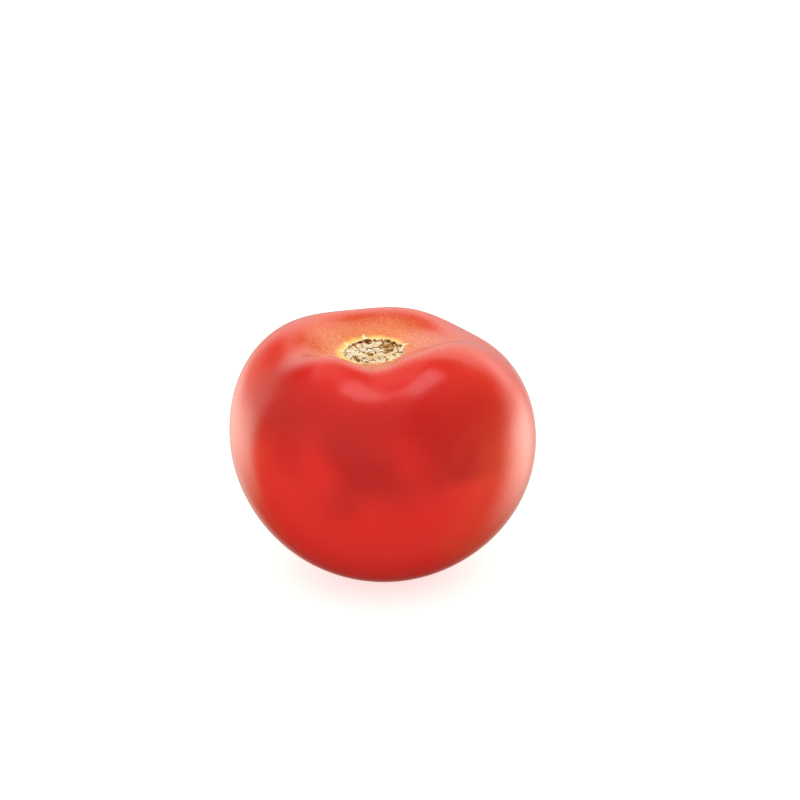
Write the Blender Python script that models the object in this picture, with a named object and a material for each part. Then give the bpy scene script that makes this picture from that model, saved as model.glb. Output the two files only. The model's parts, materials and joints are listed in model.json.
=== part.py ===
"""One whole ripe tomato, a single solid standing on the small flat spot at its blossom end.

Metres, +Z up. The origin is the middle of the fruit's box on the surface that it rests on.
X runs across the fruit, Y from its front to its back.
"""

import math
from collections import namedtuple

import bmesh
import bpy
from mathutils import Vector

# Overall size, lobes included
FRUIT_WIDTH = 0.082
FRUIT_DEPTH = 0.079
FRUIT_HEIGHT = 0.068

# The outline, from the stem end down to the blossom end
PIT_RADIUS = 0.0016
PIT_DEPTH = 0.0009
SCAR_RADIUS = 0.0077
SCAR_STEP = 0.0005
SCAR_STEP_WIDTH = 0.0004
CAVITY_DEPTH = 0.0061
SHOULDER_RADIUS = 0.0210
WIDEST_HEIGHT = 0.0389
REST_RADIUS = 0.0095
BLOSSOM_RADIUS = 0.0045
BLOSSOM_DEPTH = 0.0009

# How far each curve keeps its end directions, as a share of its run: 0.55 is an ellipse
WALL_START_RUN = 0.30
WALL_START_RISE = 0.20
WALL_FULLNESS = 0.40
CREST_FULLNESS = 0.32
SHOULDER_FULLNESS = 0.71
FLANK_FULLNESS = 0.63
BASE_FULLNESS = 0.29
BLOSSOM_FULLNESS = 0.40

# The stem end isn't quite central or level: it sits to one side and faces a little to the front
STEM_OFFSET_X = -0.0026
STEM_OFFSET_Y = -0.0013
STEM_LEAN_X = math.radians(3.0)
STEM_LEAN_Y = math.radians(3.4)

# Shallow grooves run out from the cavity and part the lobes. Azimuths count from +X towards +Y.
Groove = namedtuple("Groove", "azimuth depth width")
GROOVES = (
    Groove(math.radians(268), 0.0022, math.radians(17)),
    Groove(math.radians(201), 0.0028, math.radians(16)),
    Groove(math.radians(104), 0.0026, math.radians(29)),
    Groove(math.radians(33), 0.0044, math.radians(23)),
    Groove(math.radians(357), 0.0020, math.radians(15)),
)
# Places along the outline where a groove starts, is full, begins to fade and is gone:
# 0 is the scar's rim, 1 the shoulder's crest, 2 the widest ring and 3 the rest spot.
GROOVE_RISE = (0.0, 0.7)
GROOVE_FADE = (1.0, 2.75)

SPOKES = 72
PIT_RINGS = 2
CORK_RINGS = 4
STEP_RINGS = 1
WALL_RINGS = 6
SHOULDER_RINGS = 12
FLANK_RINGS = 14
REST_RINGS = 1
BLOSSOM_RINGS = 3

SKIN_COLOUR = (0.62, 0.022, 0.012, 1.0)
SKIN_ROUGHNESS = 0.28
CORK_COLOUR = (0.62, 0.50, 0.26, 1.0)
CORK_ROUGHNESS = 0.85

# One ring of the outline: its radius and height, the way its skin faces, and its place along
# the outline, which is below 0 inside the scar.
Station = namedtuple("Station", "radius height face place")


def smooth_step(start, end, value):
    """0 up to start, 1 from end on, and a smooth rise between them."""
    share = min(1.0, max(0.0, (value - start) / (end - start)))
    return share * share * (3 - 2 * share)


def bezier(p0, p1, p2, p3, share):
    """A cubic's point at share, and its direction there."""
    rest = 1 - share
    point = rest**3 * p0 + 3 * rest**2 * share * p1 + 3 * rest * share**2 * p2 + share**3 * p3
    along = rest**2 * (p1 - p0) + 2 * rest * share * (p2 - p1) + share**2 * (p3 - p2)
    return point, along.normalized()


def line(start, end):
    """A straight stretch, as a cubic's four points."""
    return start, start.lerp(end, 1 / 3), start.lerp(end, 2 / 3), end


def stretches():
    """Half the fruit's section, stem end first: each stretch's place, rings and cubic."""
    rim = Vector((SCAR_RADIUS, FRUIT_HEIGHT - CAVITY_DEPTH))
    cork_edge = rim - Vector((SCAR_STEP_WIDTH, SCAR_STEP))
    pit_edge = Vector((PIT_RADIUS, cork_edge.y))
    pit = Vector((0, cork_edge.y - PIT_DEPTH))
    crest = Vector((SHOULDER_RADIUS, FRUIT_HEIGHT))
    widest = Vector((FRUIT_WIDTH / 2, WIDEST_HEIGHT))
    rest = Vector((REST_RADIUS, 0))
    blossom_edge = Vector((BLOSSOM_RADIUS, 0))
    blossom = Vector((0, BLOSSOM_DEPTH))

    wall_run = crest.x - rim.x
    wall_start = rim + Vector((WALL_START_RUN * wall_run, WALL_START_RISE * CAVITY_DEPTH))
    wall_end = crest - Vector((WALL_FULLNESS * wall_run, 0))
    shoulder_start = crest + Vector((CREST_FULLNESS * (widest.x - crest.x), 0))
    shoulder_end = widest + Vector((0, SHOULDER_FULLNESS * (crest.y - widest.y)))
    flank_start = widest - Vector((0, FLANK_FULLNESS * widest.y))
    flank_end = rest + Vector((BASE_FULLNESS * (widest.x - rest.x), 0))
    blossom_start = blossom_edge - Vector((BLOSSOM_FULLNESS * BLOSSOM_RADIUS, 0))
    blossom_end = blossom + Vector((BLOSSOM_FULLNESS * BLOSSOM_RADIUS, 0))
    return (
        (-3, PIT_RINGS, line(pit, pit_edge)),
        (-2, CORK_RINGS, line(pit_edge, cork_edge)),
        (-1, STEP_RINGS, line(cork_edge, rim)),
        (0, WALL_RINGS, (rim, wall_start, wall_end, crest)),
        (1, SHOULDER_RINGS, (crest, shoulder_start, shoulder_end, widest)),
        (2, FLANK_RINGS, (widest, flank_start, flank_end, rest)),
        (3, REST_RINGS, line(rest, blossom_edge)),
        (4, BLOSSOM_RINGS, (blossom_edge, blossom_start, blossom_end, blossom)),
    )


def outline():
    """The stations of half the fruit's section, from the scar's middle to the blossom end's."""
    stations = []
    for place, rings, points in stretches():
        for ring in range(rings):
            share = ring / rings
            point, along = bezier(*points, share)
            face = Vector((-along.y, along.x))
            stations.append(Station(point.x, point.y, face, place + share))
    stations.append(Station(0, BLOSSOM_DEPTH, Vector((0, -1)), 5))
    return stations


def groove_depth(azimuth):
    """How far the skin is drawn in at an azimuth, where the grooves are full."""
    depth = 0.0
    for groove in GROOVES:
        off = azimuth - groove.azimuth
        depth += groove.depth * math.exp((math.cos(off) - 1) / groove.width**2)
    return depth


def skin_point(station, azimuth):
    """Where a station's ring passes at an azimuth, with its groove and the stem end's lean."""
    rise = smooth_step(*GROOVE_RISE, station.place)
    fade = smooth_step(*GROOVE_FADE, station.place)
    drawn_in = groove_depth(azimuth) * rise * (1 - fade)
    radius = station.radius - station.face.x * drawn_in
    height = station.height - station.face.y * drawn_in
    x = radius * math.cos(azimuth)
    y = radius * math.sin(azimuth) * FRUIT_DEPTH / FRUIT_WIDTH
    stem_end = 1 - smooth_step(0, 2, station.place)
    height += stem_end * (x * math.tan(STEM_LEAN_X) + y * math.tan(STEM_LEAN_Y))
    return Vector((x + STEM_OFFSET_X * stem_end, y + STEM_OFFSET_Y * stem_end, height))


def fit_to_size(bm):
    """Brings the lobed fruit to its named sizes, with the middle of its box over the origin."""
    low = [min(v.co[axis] for v in bm.verts) for axis in range(3)]
    high = [max(v.co[axis] for v in bm.verts) for axis in range(3)]
    sizes = (FRUIT_WIDTH, FRUIT_DEPTH, FRUIT_HEIGHT)
    for v in bm.verts:
        for axis in (0, 1):
            middle = (low[axis] + high[axis]) / 2
            v.co[axis] = (v.co[axis] - middle) * sizes[axis] / (high[axis] - low[axis])
        v.co.z *= sizes[2] / high[2]


def material(name, colour, roughness):
    made = bpy.data.materials.new(name)
    made.use_nodes = True
    shader = made.node_tree.nodes["Principled BSDF"]
    shader.inputs["Base Color"].default_value = colour
    shader.inputs["Roughness"].default_value = roughness
    shader.inputs["Metallic"].default_value = 0.0
    return made


def tomato():
    """A sphere whose rings take the fruit's outline and whose spokes take its lobes."""
    stations = outline()
    rings = len(stations) - 1
    scar_rings = PIT_RINGS + CORK_RINGS + STEP_RINGS
    bm = bmesh.new()
    bmesh.ops.create_uvsphere(bm, u_segments=SPOKES, v_segments=rings, radius=1.0)
    for face in bm.faces:
        ring = math.acos(face.calc_center_median().normalized().z) / math.pi * rings
        face.material_index = int(ring < scar_rings)
    for v in bm.verts:
        ring = round(math.acos(max(-1.0, min(1.0, v.co.z))) / math.pi * rings)
        v.co = skin_point(stations[ring], math.atan2(v.co.y, v.co.x))
    fit_to_size(bm)
    bmesh.ops.recalc_face_normals(bm, faces=bm.faces)

    mesh = bpy.data.meshes.new("tomato")
    bm.to_mesh(mesh)
    bm.free()
    mesh.shade_smooth()
    mesh.materials.append(material("tomato_skin", SKIN_COLOUR, SKIN_ROUGHNESS))
    mesh.materials.append(material("stem_scar_cork", CORK_COLOUR, CORK_ROUGHNESS))
    return bpy.data.objects.new("tomato", mesh)


def main():
    for old in list(bpy.data.objects):
        bpy.data.objects.remove(old)
    collection = bpy.data.collections.new("tomato")
    bpy.context.scene.collection.children.link(collection)
    collection.objects.link(tomato())


main()
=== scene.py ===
"""The looks of a ripe tomato: waxy skin, golden flecks and a corky stem scar. Metres, +Z up."""

import json
import math
from collections import namedtuple

import bmesh
import bpy
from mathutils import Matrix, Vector

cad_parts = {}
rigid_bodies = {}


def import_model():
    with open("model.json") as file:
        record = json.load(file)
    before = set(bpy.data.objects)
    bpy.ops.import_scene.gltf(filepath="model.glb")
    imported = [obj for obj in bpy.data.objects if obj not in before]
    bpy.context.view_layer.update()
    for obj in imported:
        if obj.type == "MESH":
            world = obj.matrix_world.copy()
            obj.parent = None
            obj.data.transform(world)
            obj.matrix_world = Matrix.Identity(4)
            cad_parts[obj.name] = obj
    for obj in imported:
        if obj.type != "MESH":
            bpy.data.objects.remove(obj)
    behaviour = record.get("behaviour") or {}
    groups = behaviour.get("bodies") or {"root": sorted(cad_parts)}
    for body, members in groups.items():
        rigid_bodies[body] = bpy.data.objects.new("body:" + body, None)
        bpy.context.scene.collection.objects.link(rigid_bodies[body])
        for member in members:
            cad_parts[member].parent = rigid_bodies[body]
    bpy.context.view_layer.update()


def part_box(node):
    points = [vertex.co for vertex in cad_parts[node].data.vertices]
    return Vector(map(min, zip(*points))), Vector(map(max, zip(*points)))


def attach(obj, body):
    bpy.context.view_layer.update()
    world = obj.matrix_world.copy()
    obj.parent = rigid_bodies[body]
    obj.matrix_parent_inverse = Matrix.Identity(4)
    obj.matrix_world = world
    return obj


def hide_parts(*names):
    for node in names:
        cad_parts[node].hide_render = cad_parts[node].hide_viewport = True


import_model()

MM = 0.001

# ---------------------------------------------------------------- node trees


class Wire:
    """An output in a node tree that takes part in ordinary sums: a + b makes an Add node."""

    def __init__(self, tree, socket):
        self.tree = tree
        self.socket = socket

    def __add__(self, other):
        return calc("ADD", self, other)

    def __radd__(self, other):
        return calc("ADD", other, self)

    def __sub__(self, other):
        return calc("SUBTRACT", self, other)

    def __rsub__(self, other):
        return calc("SUBTRACT", other, self)

    def __mul__(self, other):
        return calc("MULTIPLY", self, other)

    def __rmul__(self, other):
        return calc("MULTIPLY", other, self)

    def __truediv__(self, other):
        return calc("DIVIDE", self, other)

    def parts(self):
        """The three numbers of a vector."""
        made = node(self.tree, "ShaderNodeSeparateXYZ", {"Vector": self})
        return [Wire(self.tree, made.outputs[axis]) for axis in "XYZ"]


def feed(tree, slot, value):
    """Links a wire to a node's input, or sets the input to a plain value."""
    if isinstance(value, Wire):
        tree.links.new(value.socket, slot)
    else:
        slot.default_value = value


def node(tree, kind, inputs=(), **settings):
    """A new node with its settings, then its inputs by name, identifier or number."""
    made = tree.nodes.new(kind)
    for name, value in settings.items():
        setattr(made, name, value)
    by_identifier = {slot.identifier: slot for slot in made.inputs}
    for key, value in dict(inputs).items():
        feed(tree, by_identifier.get(key) or made.inputs[key], value)
    return made


def calc(operation, *items):
    """A Math node, or a Vector Math node where one of the items is a vector."""
    tree = next(item.tree for item in items if isinstance(item, Wire))
    vectors = [item for item in items if isinstance(item, (tuple, Vector))]
    vectors += [item for item in items if isinstance(item, Wire) and item.socket.type == "VECTOR"]
    kind = "ShaderNodeVectorMath" if vectors else "ShaderNodeMath"
    if vectors:
        items = [(item,) * 3 if isinstance(item, (int, float)) else item for item in items]
    return Wire(tree, node(tree, kind, enumerate(items), operation=operation).outputs[0])


def length(vector):
    """How long a vector is."""
    made = node(vector.tree, "ShaderNodeVectorMath", {0: vector}, operation="LENGTH")
    return Wire(vector.tree, made.outputs["Value"])


def xyz(x, y, z=0.0):
    """A vector from its three numbers."""
    tree = next(item.tree for item in (x, y, z) if isinstance(item, Wire))
    return Wire(tree, node(tree, "ShaderNodeCombineXYZ", {"X": x, "Y": y, "Z": z}).outputs[0])


def ramp(value, start, end, low=0.0, high=1.0, kind="SMOOTHSTEP"):
    """low up to start, high from end on, and a smooth rise between them."""
    inputs = {0: value, 1: start, 2: end, 3: low, 4: high}
    made = node(value.tree, "ShaderNodeMapRange", inputs, interpolation_type=kind)
    return Wire(value.tree, made.outputs[0])


def bell(off, width):
    """1 where off is nothing, falling away to either side over about a width."""
    off = off / width
    return calc("EXPONENT", off * off * -1.0)


def noise(where, size, detail=2.0, roughness=0.5, seed=0.0):
    """Soft random values from 0 to 1 that change over about one size, in metres."""
    inputs = {"Vector": where, "W": seed, "Scale": 1 / size, "Detail": detail, "Roughness": roughness}
    made = node(where.tree, "ShaderNodeTexNoise", inputs, noise_dimensions="4D")
    return Wire(where.tree, made.outputs[0])


def cells(where, size, feature="F1"):
    """A Voronoi pattern with cells of about one size, in metres."""
    inputs = {"Vector": where, "Scale": 1 / size}
    made = node(where.tree, "ShaderNodeTexVoronoi", inputs, feature=feature)
    return Wire(where.tree, made.outputs["Distance"])


def blend(share, first, second):
    """The first colour where share is 0, the second where it is 1."""
    tree = next(item.tree for item in (share, first, second) if isinstance(item, Wire))
    inputs = {"Factor_Float": share, "A_Color": first, "B_Color": second}
    made = node(tree, "ShaderNodeMix", inputs, data_type="RGBA", clamp_factor=True)
    return Wire(tree, next(out for out in made.outputs if out.identifier == "Result_Color"))


# ---------------------------------------------------------------- the fruit's shape

SPOKES = 384
# From the scar's middle to the blossom end: how many rings each stretch of the outline has.
# Places run -1 scar's middle, 0 its rim, 1 shoulder crest, 2 widest, 3 rest spot, 5 blossom end.
RingBand = namedtuple("RingBand", "rings start end")
RING_BANDS = (
    RingBand(78, -1.0, 0.0),
    RingBand(34, 0.0, 0.35),
    RingBand(26, 0.35, 1.0),
    RingBand(44, 1.0, 2.0),
    RingBand(40, 2.0, 3.0),
    RingBand(14, 3.0, 5.0),
)

# How far each curve keeps its end directions, as a share of its run: 0.55 is an ellipse
WALL_START_RUN = 0.30
WALL_START_RISE = 0.20
WALL_FULLNESS = 0.40
CREST_FULLNESS = 0.32
SHOULDER_FULLNESS = 0.71
FLANK_FULLNESS = 0.63
BASE_FULLNESS = 0.29
REST_FULLNESS = 0.33
BLOSSOM_FULLNESS = 0.40
# The skin's direction at a place is taken between the places this far before and after it
PLACE_STEP = 0.01

# Shallow grooves that part the lobes: azimuth from +X towards +Y, depth as a share of the
# deepest, and width. A groove rises and fades between places along the outline.
Groove = namedtuple("Groove", "azimuth depth width")
GROOVES = (
    Groove(math.radians(268), 0.60, math.radians(14)),
    Groove(math.radians(201), 0.64, math.radians(16)),
    Groove(math.radians(104), 0.59, math.radians(29)),
    Groove(math.radians(33), 1.00, math.radians(23)),
    Groove(math.radians(357), 0.45, math.radians(15)),
)
GROOVE_RISE = (0.0, 0.7)
GROOVE_FADE = (1.0, 2.75)

# Points of pale skin where the calyx's leaves tore off: azimuth, and length out from the rim
StarPoint = namedtuple("StarPoint", "azimuth reach")
STAR_POINTS = (
    StarPoint(math.radians(20), 2.6 * MM),
    StarPoint(math.radians(62), 1.2 * MM),
    StarPoint(math.radians(106), 3.4 * MM),
    StarPoint(math.radians(146), 2.4 * MM),
    StarPoint(math.radians(176), 2.6 * MM),
    StarPoint(math.radians(236), 1.8 * MM),
    StarPoint(math.radians(302), 1.8 * MM),
)
STAR_HALF_WIDTH = 0.9 * MM
STAR_RELIEF = 0.20 * MM

# The skin's low lip round the scar
LIP_RELIEF = 0.22 * MM
LIP_WIDTH = 0.70 * MM

# The cork: how far it lies below the rim, the size of each of its patterns, and their relief
CORK_DROP = 0.45 * MM
WARP_SIZE = 1.8 * MM
WARP_REACH = 2.4 * MM
PLATE_SIZE = 1.9 * MM
PLATE_RELIEF = 0.16 * MM
FIBRE_SIZE = 1.5 * MM
CRACK_RELIEF = 0.10 * MM
SWELL_SIZE = 2.4 * MM
SWELL_RELIEF = 0.80 * MM
RUBBLE_SIZE = 0.55 * MM
RUBBLE_RELIEF = 0.30 * MM
# A crevice just inside the rim, deepest at the back. Its brown is partly the cork's own colour and
# partly a painted shadow under the back rim.
EDGE_INSET = 0.22 * MM
EDGE_WIDTH = 0.19 * MM
EDGE_RELIEF = 0.35 * MM

# Pits in the cork where the stem's bundles tore out: azimuth, distance from the middle as a
# share of the scar's radius, size and depth
Pit = namedtuple("Pit", "azimuth out size depth")
PITS = (
    Pit(math.radians(48), 0.66, 0.8 * MM, 0.5 * MM),
    Pit(math.radians(18), 0.52, 0.7 * MM, 0.6 * MM),
    Pit(math.radians(231), 0.86, 0.5 * MM, 0.6 * MM),
    Pit(math.radians(253), 0.90, 0.5 * MM, 0.6 * MM),
    Pit(math.radians(102), 0.84, 0.5 * MM, 0.5 * MM),
    Pit(math.radians(240), 0.20, 0.4 * MM, 0.3 * MM),
)


def fruit_sizes(low, high):
    """The tree's named sizes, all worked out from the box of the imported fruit."""
    width, depth, height = high - low
    return {
        "Low Corner": low,
        "High Corner": high,
        "Half Width": width / 2,
        "Depth Share": depth / width,
        "Height": height,
        "Widest Height": 0.572 * height,
        "Shoulder Radius": 0.256 * width,
        "Cavity Depth": 0.0900 * height,
        "Scar Radius": 0.0939 * width,
        "Rest Radius": 0.116 * width,
        "Blossom Radius": 0.055 * width,
        "Blossom Depth": 0.0132 * height,
        "Groove Depth": 0.0537 * width,
        "Stem Offset X": -0.0317 * width,
        "Stem Offset Y": -0.0159 * width,
        "Stem Slope X": math.tan(math.radians(3.0)),
        "Stem Slope Y": math.tan(math.radians(3.4)),
    }


def new_tree(name, sizes):
    """A geometry tree with its sizes as named inputs, and each of them as a wire."""
    tree = bpy.data.node_groups.new(name, "GeometryNodeTree")
    for key, value in sizes.items():
        kind = "NodeSocketVector" if isinstance(value, Vector) else "NodeSocketFloat"
        tree.interface.new_socket(key, in_out="INPUT", socket_type=kind)
    source = tree.nodes.new("NodeGroupInput")
    return tree, {key: Wire(tree, source.outputs[key]) for key in sizes}


def bezier(p0, p1, p2, p3, share):
    """A cubic's radius or height at a share of its run."""
    rest = 1.0 - share
    ends = rest * rest * rest * p0 + share * share * share * p3
    return ends + 3.0 * rest * share * (rest * p1 + share * p2)


def outline(place, size):
    """The radius and height of half the fruit's section at a place along it."""
    rim_x = size["Scar Radius"]
    rim_y = size["Height"] - size["Cavity Depth"]
    crest_x = size["Shoulder Radius"]
    crest_y = size["Height"]
    wide_x = size["Half Width"]
    wide_y = size["Widest Height"]
    rest_x = size["Rest Radius"]
    dimple_x = size["Blossom Radius"]
    wall_run = crest_x - rim_x
    ring_run = rest_x - dimple_x
    stretches = (
        ((rim_x, rim_x + WALL_START_RUN * wall_run, crest_x - WALL_FULLNESS * wall_run, crest_x),
         (rim_y, rim_y + WALL_START_RISE * size["Cavity Depth"], crest_y, crest_y)),
        ((crest_x, crest_x + CREST_FULLNESS * (wide_x - crest_x), wide_x, wide_x),
         (crest_y, crest_y, wide_y + SHOULDER_FULLNESS * (crest_y - wide_y), wide_y)),
        ((wide_x, wide_x, rest_x + BASE_FULLNESS * (wide_x - rest_x), rest_x),
         (wide_y, (1 - FLANK_FULLNESS) * wide_y, 0.0, 0.0)),
        ((rest_x, rest_x - REST_FULLNESS * ring_run, dimple_x + REST_FULLNESS * ring_run, dimple_x),
         (0.0, 0.0, 0.0, 0.0)),
        ((dimple_x, (1 - BLOSSOM_FULLNESS) * dimple_x, BLOSSOM_FULLNESS * dimple_x, 0.0),
         (0.0, 0.0, size["Blossom Depth"], size["Blossom Depth"])),
    )
    radius = rim_x
    height = rim_y
    for number, (across, up) in enumerate(stretches):
        share = ramp(place, float(number), number + 1.0, kind="LINEAR")
        radius = radius + bezier(*across, share) - across[0]
        height = height + bezier(*up, share) - up[0]
    return radius, height


def grooves(azimuth, depth):
    """How far the skin is drawn in at an azimuth, where the grooves are full."""
    total = 0.0
    for groove in GROOVES:
        off = calc("COSINE", azimuth - groove.azimuth) - 1.0
        total = total + groove.depth * calc("EXPONENT", off / groove.width**2)
    return total * depth


def turn_between(azimuth, other):
    """The angle between two azimuths, from 0 to pi."""
    return calc("ARCCOSINE", calc("COSINE", azimuth - other) * 0.9999999)


def star(azimuth, radius, past_rim):
    """1 inside the pale points round the scar, which narrow as they run out over the skin."""
    total = 0.0
    for point in STAR_POINTS:
        aside = turn_between(azimuth, point.azimuth) * radius
        half_width = ramp(past_rim, 0.0, point.reach, STAR_HALF_WIDTH, 0.0, kind="LINEAR")
        inside = ramp(half_width - aside, -0.15 * MM, 0.25 * MM)
        total = total + inside * ramp(past_rim, 0.6 * point.reach, point.reach, 1.0, 0.0)
    return calc("MINIMUM", total, 1.0)


def ragged_rim(azimuth, size):
    """The scar's radius at an azimuth: not quite round, with a finely torn edge."""
    about = xyz(calc("COSINE", azimuth), calc("SINE", azimuth))
    wavy = noise(about, 0.9, seed=3.0) - 0.5
    torn = noise(about, 0.11, detail=3.0, seed=8.0) - 0.5
    return size["Scar Radius"] * (1.0 + 0.16 * wavy + 0.07 * torn)


def cork(where, radius, rim, size):
    """The cork's height over its floor, then how deep in a crevice, with the painted shadow under the
    back rim added, and how stained it is, 0 to 1.
    """
    warp = noise(where, WARP_SIZE, detail=3.0, seed=1.0) - 0.5
    moved = where + warp * (WARP_REACH, -WARP_REACH, 0.0)
    open_edges = ramp(noise(where, PLATE_SIZE, detail=1.0, seed=21.0), 0.34, 0.50)
    gaps = ramp(cells(moved, PLATE_SIZE, "DISTANCE_TO_EDGE"), 0.0, 0.13, 1.0, 0.0)
    plates = 1.0 - open_edges * gaps
    fibres = noise(moved * (1.0, 2.2, 1.0), FIBRE_SIZE, detail=2.0, seed=14.0) - 0.5
    cracks = ramp(calc("ABSOLUTE", fibres), 0.0, 0.06)
    swell = noise(where, SWELL_SIZE, detail=3.0, roughness=0.6, seed=5.0)
    rubble = noise(where, RUBBLE_SIZE, detail=3.0, roughness=0.6, seed=6.0)
    height = PLATE_RELIEF * plates + CRACK_RELIEF * cracks
    height = height + SWELL_RELIEF * (swell - 0.5) + RUBBLE_RELIEF * (rubble - 0.5)
    crevice_and_rim_shadow = 1.0 - plates * (0.45 + 0.55 * cracks)
    stain = 0.0
    for pit in PITS:
        middle = (pit.out * math.cos(pit.azimuth), pit.out * math.sin(pit.azimuth), 0.0)
        off = length(where - middle * size["Scar Radius"]) + (rubble - 0.5) * MM
        hole = bell(off, pit.size)
        height = height - pit.depth * hole
        crevice_and_rim_shadow = calc("MAXIMUM", crevice_and_rim_shadow, hole)
        stain = calc("MAXIMUM", bell(off, 2.2 * pit.size), stain)
    _, y, _ = where.parts()
    # The groove inside the rim is real relief, but the brown it adds to the crevice colour is also a
    # painted shadow under the back rim.
    at_back = ramp(y, 0.2 * rim, 0.6 * rim, 0.15, 1.0)
    edge = at_back * bell(radius - rim + EDGE_INSET, EDGE_WIDTH)
    return height - EDGE_RELIEF * edge, calc("MAXIMUM", crevice_and_rim_shadow, edge), stain


def fruit_tree(sizes, materials):
    """A sphere whose rings take the fruit's outline, with grooves, a torn rim and cork relief."""
    tree, size = new_tree("tomato", sizes)
    rings = sum(band.rings for band in RING_BANDS)
    inputs = {"Segments": SPOKES, "Rings": rings, "Radius": 1.0}
    sphere = Wire(tree, node(tree, "GeometryNodeMeshUVSphere", inputs).outputs["Mesh"])
    x, y, z = Wire(tree, node(tree, "GeometryNodeInputPosition").outputs[0]).parts()
    azimuth = calc("ARCTAN2", y, x)
    ring = calc("ARCTAN2", length(xyz(x, y)), z) / math.pi * rings

    place = RING_BANDS[0].start
    passed = 0
    for band in RING_BANDS:
        place = place + ramp(ring, passed, passed + band.rings, 0.0, band.end - band.start, "LINEAR")
        passed += band.rings

    radius, height = outline(place, size)
    before_x, before_y = outline(place - PLACE_STEP, size)
    after_x, after_y = outline(place + PLACE_STEP, size)
    along = xyz(after_x - before_x, after_y - before_y)
    along = node(tree, "ShaderNodeVectorMath", {0: along}, operation="NORMALIZE")
    along_x, along_y, _ = Wire(tree, along.outputs[0]).parts()

    drawn_in = grooves(azimuth, size["Groove Depth"])
    drawn_in = drawn_in * ramp(place, *GROOVE_RISE) * ramp(place, *GROOVE_FADE, 1.0, 0.0)
    radius = radius + along_y * drawn_in
    height = height - along_x * drawn_in

    rim = ragged_rim(azimuth, size)
    in_scar = 1.0 + calc("MINIMUM", place, 0.0)
    radius = radius * in_scar + (rim - size["Scar Radius"]) * in_scar * ramp(place, 0.0, 0.5, 1.0, 0.0)
    # How far out from the rim, which has to go on growing where the skin turns back underneath
    far_down = ramp(place, 1.0, 2.0, 0.0, size["Half Width"], "LINEAR")
    past_rim = calc("MAXIMUM", radius - rim, far_down)
    x = radius * calc("COSINE", azimuth)
    y = radius * calc("SINE", azimuth)
    where = xyz(x, y)

    cork_height, crevice_and_rim_shadow, stain = cork(where, radius, rim, size)
    inside = ramp(place, -0.012, 0.0, 1.0, 0.0)
    star_point = star(azimuth, radius, past_rim) * (1.0 - inside)
    lip = LIP_RELIEF * bell(past_rim, LIP_WIDTH) * (1.0 - inside)
    height = height + inside * (cork_height - CORK_DROP) + lip + STAR_RELIEF * star_point

    y = y * size["Depth Share"]
    stem_end = ramp(place, 0.0, 2.0, 1.0, 0.0)
    height = height + stem_end * (x * size["Stem Slope X"] + y * size["Stem Slope Y"])
    x = x + stem_end * size["Stem Offset X"]
    y = y + stem_end * size["Stem Offset Y"]

    # The materials read these. They are stored while the mesh is still the plain sphere.
    marks = {
        "past_rim": past_rim,
        "star": star_point,
        "crevice_and_rim_shadow": crevice_and_rim_shadow,
        "stain": stain,
        "place": place,
    }
    marked = sphere
    for name, value in marks.items():
        inputs = {"Geometry": marked, "Name": name, "Value": value}
        marked = Wire(tree, node(tree, "GeometryNodeStoreNamedAttribute", inputs).outputs[0])
    shaped = node(tree, "GeometryNodeSetPosition", {"Geometry": marked, "Position": xyz(x, y, height)})
    shaped = Wire(tree, shaped.outputs[0])

    # The relief changes the box a little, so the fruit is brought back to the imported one
    bounds = node(tree, "GeometryNodeBoundBox", {"Geometry": shaped})
    low = Wire(tree, bounds.outputs["Min"])
    high = Wire(tree, bounds.outputs["Max"])
    spot = Wire(tree, node(tree, "GeometryNodeInputPosition").outputs[0])
    share = calc("DIVIDE", spot - low, high - low)
    spot = size["Low Corner"] + share * (size["High Corner"] - size["Low Corner"])
    inputs = {"Geometry": shaped, "Position": spot}
    fitted = Wire(tree, node(tree, "GeometryNodeSetPosition", inputs).outputs[0])

    smooth = Wire(tree, node(tree, "GeometryNodeSetShadeSmooth", {"Geometry": fitted}).outputs[0])
    real = Wire(tree, node(tree, "GeometryNodeRealizeInstances", {"Geometry": smooth}).outputs[0])
    skinned = node(tree, "GeometryNodeSetMaterial", {"Geometry": real, "Material": materials["skin"]})
    name = {"Name": "place"}
    place_again = Wire(tree, node(tree, "GeometryNodeInputNamedAttribute", name).outputs[0])
    inputs = {
        "Geometry": Wire(tree, skinned.outputs[0]),
        "Selection": calc("LESS_THAN", place_again, 0.0),
        "Material": materials["cork"],
    }
    corked = node(tree, "GeometryNodeSetMaterial", inputs)
    tree.interface.new_socket("Geometry", in_out="OUTPUT", socket_type="NodeSocketGeometry")
    node(tree, "NodeGroupOutput", {0: Wire(tree, corked.outputs[0])})
    return tree


def grow(name, tree, sizes):
    """Runs a geometry tree with its sizes, and keeps the result as a plain mesh object."""
    seed = bpy.data.objects.new(name + "_seed", bpy.data.meshes.new(name + "_seed"))
    bpy.context.scene.collection.objects.link(seed)
    modifier = seed.modifiers.new("Grow", "NODES")
    modifier.node_group = tree
    for item in tree.interface.items_tree:
        if item.in_out == "INPUT" and item.name in sizes:
            modifier[item.identifier] = sizes[item.name]
    evaluated = seed.evaluated_get(bpy.context.evaluated_depsgraph_get())
    mesh = bpy.data.meshes.new_from_object(evaluated)
    bpy.data.objects.remove(seed)
    mesh.name = name
    grown = bpy.data.objects.new(name, mesh)
    bpy.context.scene.collection.objects.link(grown)
    return grown


# ---------------------------------------------------------------- materials

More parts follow.
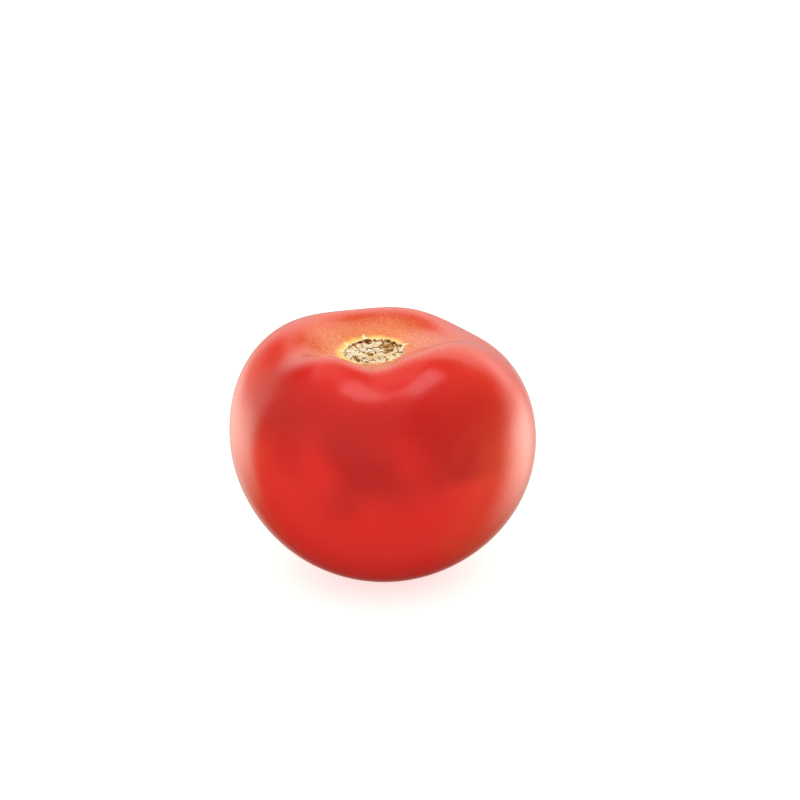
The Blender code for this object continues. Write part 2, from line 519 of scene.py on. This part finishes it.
RIPE_RED = (0.730, 0.020, 0.016, 1.0)
DEEP_RED_AND_SHADE = (0.490, 0.012, 0.011, 1.0)
WARM_RED = (0.740, 0.078, 0.026, 1.0)
ORANGE = (0.800, 0.185, 0.045, 1.0)
GOLD = (0.900, 0.410, 0.090, 1.0)
PALE_YELLOW = (0.940, 0.660, 0.120, 1.0)
STRAW = (0.950, 0.820, 0.380, 1.0)
CORK_WHITE = (0.980, 0.940, 0.780, 1.0)
CREAM = (0.900, 0.740, 0.390, 1.0)
OLIVE = (0.420, 0.320, 0.060, 1.0)
RUST = (0.330, 0.055, 0.015, 1.0)
TAN = (0.520, 0.220, 0.030, 1.0)
BARK_BROWN = (0.170, 0.035, 0.006, 1.0)

SKIN_ROUGHNESS = 0.18
SKIN_SOFTNESS = 0.20
SKIN_DEPTH = 2.0 * MM
# How far red, green and blue light run through the skin, as shares of its depth
SKIN_SCATTER = (1.0, 0.25, 0.12)
CORK_ROUGHNESS = 0.85
CORK_GRAIN_SIZE = 0.32 * MM
CORK_GRAIN_RELIEF = 0.080 * MM

# The front, where the painted shade band sags and from which the warmer flanks are measured, the side
# of the scar where its yellow halo is widest, and the side where the scar's edge is torn to white
# shreds
FRONT_SIDE = math.radians(262)
HALO_SIDE = math.radians(130)
TORN_SIDE = math.radians(140)

# Painted shade: the dark red band round the upper half, which sags a little at the front and fades
# towards the back
SHADE_BAND_HEIGHT = 55 * MM
SHADE_BAND_SAG = 4 * MM
SHADE_BAND_WANDER = 26 * MM
SHADE_BAND_WIDTH = 12 * MM
# How far from the rim the warm red, the orange and the golden flecks reach
WARM_REACH = (4 * MM, 20 * MM)
ORANGE_REACH = (0.0, 13 * MM)
FLECK_REACH = (4 * MM, 20 * MM)
FLECK_SIZE = 0.40 * MM
HALO_WIDTH = (0.15 * MM, 2.6 * MM)
SHRED_SIZE = 0.5 * MM
SHRED_WIDTH = 0.35 * MM
# Places along the outline where the brown scar at the blossom end starts and is full
BLOSSOM_SCAR = (4.5, 4.8)
SKIN_GRAIN_SIZE = 0.40 * MM
SKIN_GRAIN_RELIEF = 0.030 * MM


def new_material(name, roughness, subsurface=0.0):
    """A material with a Principled shader, and its Object coordinates."""
    material = bpy.data.materials.new(name)
    material.use_nodes = True
    tree = material.node_tree
    shader = tree.nodes["Principled BSDF"]
    shader.inputs["Roughness"].default_value = roughness
    shader.inputs["Subsurface Weight"].default_value = subsurface
    where = Wire(tree, node(tree, "ShaderNodeTexCoord").outputs["Object"])
    return material, shader, where


def attribute(tree, name):
    """A value that the fruit's own mesh carries."""
    made = node(tree, "ShaderNodeAttribute", attribute_name=name)
    return Wire(tree, made.outputs["Fac"])


def bump(shader, height, distance):
    """Fine relief that the mesh is too coarse for. height runs 0 to 1 over distance."""
    tree = height.tree
    made = node(tree, "ShaderNodeBump", {"Height": height, "Distance": distance, "Strength": 1.0})
    feed(tree, shader.inputs["Normal"], Wire(tree, made.outputs[0]))


def skin_material():
    """Waxy skin: red with slow changes and a painted shade band across the front, warmer flanks that
    are partly a painted side glow, orange to yellow near the scar, with golden flecks.
    """
    material, shader, where = new_material("tomato_skin", SKIN_ROUGHNESS, SKIN_SOFTNESS)
    shader.inputs["Subsurface Radius"].default_value = SKIN_SCATTER
    shader.inputs["Subsurface Scale"].default_value = SKIN_DEPTH
    tree = where.tree
    past_rim = attribute(tree, "past_rim")
    star_point = attribute(tree, "star")

    east, north, height = where.parts()
    slow = noise(where, 24 * MM, detail=1.0, seed=2.0) - 0.5
    azimuth = calc("ARCTAN2", north, east)
    aside = turn_between(azimuth, FRONT_SIDE)
    # Painted shade: a darker red band across the front of the upper half stands in for the dim light
    # there and fades towards the back. The slow noise adds random deeper red patches.
    painted_shade_band = bell(height - SHADE_BAND_HEIGHT + SHADE_BAND_SAG * bell(aside, 0.5) + slow * SHADE_BAND_WANDER, SHADE_BAND_WIDTH)
    painted_shade_band = painted_shade_band * ramp(aside, 0.8, 1.5, 1.0, 0.3)
    colour = blend(ramp(painted_shade_band + 1.2 * slow, 0.2, 1.0), RIPE_RED, DEEP_RED_AND_SHADE)
    wander = noise(where, 4 * MM, detail=3.0, seed=4.0) - 0.5
    patches = noise(where, 14 * MM, detail=2.0, seed=9.0) - 0.5
    # Partly painted light: the flanks either side of the front turn warmer orange-red, most low down.
    # This is partly the skin's own tint and partly a painted glow of side light through the skin's
    # edge.
    off_front = aside * (180 / math.pi) + 40.0 * patches
    flank_tint_and_glow = ramp(off_front, 26.0, 70.0) * ramp(off_front, 100.0, 150.0, 1.0, 0.5)
    colour = blend(flank_tint_and_glow * ramp(height, 40 * MM, 58 * MM, 0.85, 0.3), colour, WARM_RED)

    reach = past_rim + wander * 5 * MM
    halo_side = calc("COSINE", azimuth - HALO_SIDE)
    colour = blend(ramp(reach, *WARM_REACH, 1.0, 0.0) * 0.9, colour, WARM_RED)
    orange = ramp(reach, *ORANGE_REACH, 1.0, 0.0) * ramp(halo_side, -0.9, 0.4, 0.15, 0.85)
    colour = blend(orange, colour, ORANGE)

    fleck_cells = cells(where, FLECK_SIZE)
    fleck_size = ramp(past_rim, 3 * MM, 16 * MM, 0.62, 0.42)
    fleck_strength = noise(where, 1.0 * MM, detail=1.0, seed=7.0)
    flecks = ramp(fleck_size - fleck_cells, 0.0, 0.30) * ramp(fleck_strength, 0.32, 0.56)
    near = ramp(past_rim, *FLECK_REACH, 1.0, 0.06)
    colour = blend(flecks * near * 0.65, colour, GOLD)

    halo = ramp(halo_side, -0.9, 0.6, *HALO_WIDTH)
    rim_share = past_rim / halo + 1.4 * wander
    colour = blend(ramp(rim_share, 0.1, 1.1, 1.0, 0.0), colour, PALE_YELLOW)
    colour = blend(ramp(star_point, 0.1, 0.6), colour, PALE_YELLOW)
    colour = blend(ramp(star_point, 0.5, 1.0), colour, STRAW)
    shreds = ramp(noise(where, SHRED_SIZE, detail=2.0, seed=15.0), 0.46, 0.56)
    torn = bell(past_rim, SHRED_WIDTH) * ramp(calc("COSINE", azimuth - TORN_SIDE), 0.3, 0.8)
    colour = blend(torn * shreds, colour, CORK_WHITE)
    tip = ramp(attribute(tree, "place") + 0.3 * wander, *BLOSSOM_SCAR)
    colour = blend(tip, colour, TAN)
    colour = blend(ramp(tip, 0.6, 1.0), colour, BARK_BROWN)
    feed(tree, shader.inputs["Base Color"], colour)

    grain = noise(where, SKIN_GRAIN_SIZE, detail=2.0, seed=11.0)
    bump(shader, grain + 0.3 * flecks * near, SKIN_GRAIN_RELIEF)
    return material


def cork_material():
    """Dry torn cork: cream plates, olive in places, with brown in the crevices and, in the groove
    under the back rim, a painted shadow.
    """
    material, shader, where = new_material("stem_scar_cork", CORK_ROUGHNESS)
    tree = where.tree
    crevice_and_rim_shadow = attribute(tree, "crevice_and_rim_shadow")
    stain = attribute(tree, "stain")
    patches = noise(where, 1.2 * MM, detail=3.0, seed=12.0)
    fine = noise(where, CORK_GRAIN_SIZE, detail=3.0, seed=13.0)
    colour = blend(ramp(patches, 0.45, 0.58), CORK_WHITE, CREAM)
    colour = blend(ramp(fine, 0.48, 0.70) * 0.5, colour, TAN)
    colour = blend(ramp(stain + (fine - 0.5) * 0.8, 0.25, 0.7), colour, OLIVE)
    colour = blend(ramp(stain + (patches - 0.5) * 2.0, 0.58, 0.85), colour, RUST)
    # Brown in the crevices is the cork's own colour. In the groove under the back rim it also paints
    # the shadow there.
    depth = crevice_and_rim_shadow + (fine - 0.5) * 0.5
    colour = blend(ramp(depth, 0.33, 0.58), colour, TAN)
    colour = blend(ramp(depth, 0.58, 0.85), colour, BARK_BROWN)
    feed(tree, shader.inputs["Base Color"], colour)
    bump(shader, fine, CORK_GRAIN_RELIEF)
    return material


# ---------------------------------------------------------------- the studio

TABLE_REACH = 4.0
TABLE_COLOUR = (0.88, 0.88, 0.88, 1.0)
TABLE_ROUGHNESS = 0.7
TABLE_GLOW = 0.62
WHITE = (1.0, 1.0, 1.0, 1.0)
WARM_WHITE = (1.0, 0.96, 0.86, 1.0)

Softbox = namedtuple("Softbox", "name at towards width height watts mirrored")
SOFTBOXES = (
    Softbox("key_softbox", (0.05, -0.10, 0.80), (0, 0, 0.04), 1.2, 1.2, 1.2, False),
    Softbox("left_fill", (-0.60, -0.40, 0.10), (0, 0, 0.03), 0.5, 0.4, 0.4, False),
    Softbox("right_fill", (0.70, -0.15, 0.10), (0, 0, 0.03), 0.5, 0.4, 0.15, False),
    Softbox("overhead_strip", (0.070, -0.055, 0.50), (0, 0, 0.05), 0.30, 0.16, 0.30, True),
)

# How bright each part of the surroundings is where the skin mirrors it
DIM_LIGHT = 0.06
SKY_LIGHT = 1.3
LEFT_PANEL_LIGHT = 2.1
RIGHT_PANEL_LIGHT = 4.1
ROOM_LIGHT = 0.25
FRONT_LIGHT = 0.16

CAMERA_ELEVATION = math.radians(24.5)
CAMERA_DISTANCE = 0.48
LENS = 80.3
AIM_RIGHT = 4.8 * MM
AIM_UP = 12.6 * MM


def floor(low):
    """A wide pale table top under the fruit."""
    mesh = bpy.data.meshes.new("floor")
    bm = bmesh.new()
    bmesh.ops.create_grid(bm, x_segments=1, y_segments=1, size=TABLE_REACH)
    bm.to_mesh(mesh)
    bm.free()
    mesh.transform(Matrix.Translation((0, 0, low.z)))
    material, shader, _ = new_material("table_top", TABLE_ROUGHNESS)
    shader.inputs["Base Color"].default_value = TABLE_COLOUR
    shader.inputs["Emission Color"].default_value = WHITE
    shader.inputs["Emission Strength"].default_value = TABLE_GLOW
    mesh.materials.append(material)
    made = bpy.data.objects.new("floor", mesh)
    made.visible_diffuse = False
    made.visible_glossy = False
    bpy.context.scene.collection.objects.link(made)
    return made


def softbox(box):
    """A rectangular light. The skin shows its shape only where it is mirrored."""
    light = bpy.data.lights.new(box.name, "AREA")
    light.shape = "RECTANGLE"
    light.size = box.width
    light.size_y = box.height
    light.energy = box.watts
    made = bpy.data.objects.new(box.name, light)
    made.location = box.at
    facing = Vector(box.towards) - Vector(box.at)
    made.rotation_euler = facing.to_track_quat("-Z", "Y").to_euler()
    made.visible_camera = False
    made.visible_glossy = box.mirrored
    bpy.context.scene.collection.objects.link(made)


def surroundings():
    """A soft sky behind and above the fruit, a low panel to either side and dim light elsewhere.

    The pale table's glow comes from here too, as the table itself lights nothing. Where the
    camera sees past the table it is plain white.
    """
    world = bpy.data.worlds.new("studio")
    bpy.context.scene.world = world
    world.use_nodes = True
    world.cycles.sampling_method = "NONE"
    tree = world.node_tree
    away = Wire(tree, node(tree, "ShaderNodeTexCoord").outputs["Generated"])
    across, back, up = away.parts()
    # Degrees round to the right from straight behind the fruit. up is the sine of the elevation.
    turn = calc("ARCTAN2", across, back) * (180 / math.pi)

    # The sky leans left high up, and shows dimly beyond the far edge of the table
    lean = turn + ramp(up, 0.68, 0.84, 0.0, 42.0)
    sky = ramp(lean, -42, -18) * ramp(lean, 36, 64, 1.0, 0.0)
    beyond = ramp(up, -0.75, -0.45, 0.0, 0.6) * ramp(up, -0.35, -0.10, 1.0, 0.65)
    sky = sky * (beyond + ramp(up, -0.25, 0.60, 0.0, 0.8))
    sky = sky * ramp(up, 0.66, 0.86, 1.0, 0.45)

    # The side panels are brightest low down and have soft edges
    low_down = 0.65 * ramp(up, -0.20, 0.10, 1.0, 0.0) + 0.35 * ramp(up, 0.1, 0.55, 1.0, 0.0)
    left = ramp(turn, -70, -57) * ramp(turn, -42, -14, 1.0, 0.0)
    left = left * ramp(up, -0.66, -0.26) * low_down
    slant = turn + 50.0 * calc("MAXIMUM", up, 0.0)
    right = ramp(slant, 26, 62) * ramp(slant, 65, 94, 1.0, 0.0)
    right = right * ramp(up, -0.84, -0.20) * low_down

    # Dim light from the rest of the room, to the left and from the front of the table
    room = ramp(turn, -70, -50, 1.0, 0.0) * ramp(up, -0.1, 0.3)
    front = ramp(back, -0.3, 0.3, 1.0, 0.0) * ramp(up, -0.5, -0.1, 1.0, 0.0)
    light = DIM_LIGHT + SKY_LIGHT * sky + LEFT_PANEL_LIGHT * left + RIGHT_PANEL_LIGHT * right
    light = light + ROOM_LIGHT * room + FRONT_LIGHT * front

    # What the skin doesn't mirror but is lit by: a plain dome, brightest at the horizon
    dome = ramp(up, -0.85, -0.2, 0.1, 1.5) - ramp(up, 0.0, 0.4, 0.0, 0.68)
    rays = node(tree, "ShaderNodeLightPath")
    seen = Wire(tree, rays.outputs["Is Camera Ray"])
    soft = Wire(tree, rays.outputs["Is Diffuse Ray"])
    light = light * (1.0 - soft) + soft * dome
    background = tree.nodes["Background"]
    feed(tree, background.inputs["Color"], blend(seen, WARM_WHITE, WHITE))
    feed(tree, background.inputs["Strength"], light * (1.0 - seen) + seen)


def camera(middle):
    """Looks down a little on the front of the fruit, which stands left of and below the centre."""
    back = Vector((0, -math.cos(CAMERA_ELEVATION), math.sin(CAMERA_ELEVATION)))
    up = Vector((0, math.sin(CAMERA_ELEVATION), math.cos(CAMERA_ELEVATION)))
    lens = bpy.data.cameras.new("camera")
    lens.lens = LENS
    made = bpy.data.objects.new("camera", lens)
    made.location = middle + back * CAMERA_DISTANCE
    aim = middle + Vector((AIM_RIGHT, 0, 0)) + up * AIM_UP
    made.rotation_euler = (aim - made.location).to_track_quat("-Z", "Y").to_euler()
    bpy.context.scene.collection.objects.link(made)
    bpy.context.scene.camera = made


def main():
    for old in list(bpy.data.objects):
        if old.type in ("LIGHT", "CAMERA"):
            bpy.data.objects.remove(old)
    bpy.context.scene.view_settings.view_transform = "Standard"

    low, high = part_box("tomato")
    sizes = fruit_sizes(low, high)
    materials = {"skin": skin_material(), "cork": cork_material()}
    fruit = grow("tomato_fruit", fruit_tree(sizes, materials), sizes)
    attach(fruit, "root")
    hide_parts("tomato")

    floor(low)
    for box in SOFTBOXES:
        softbox(box)
    surroundings()
    camera((low + high) / 2)


main()
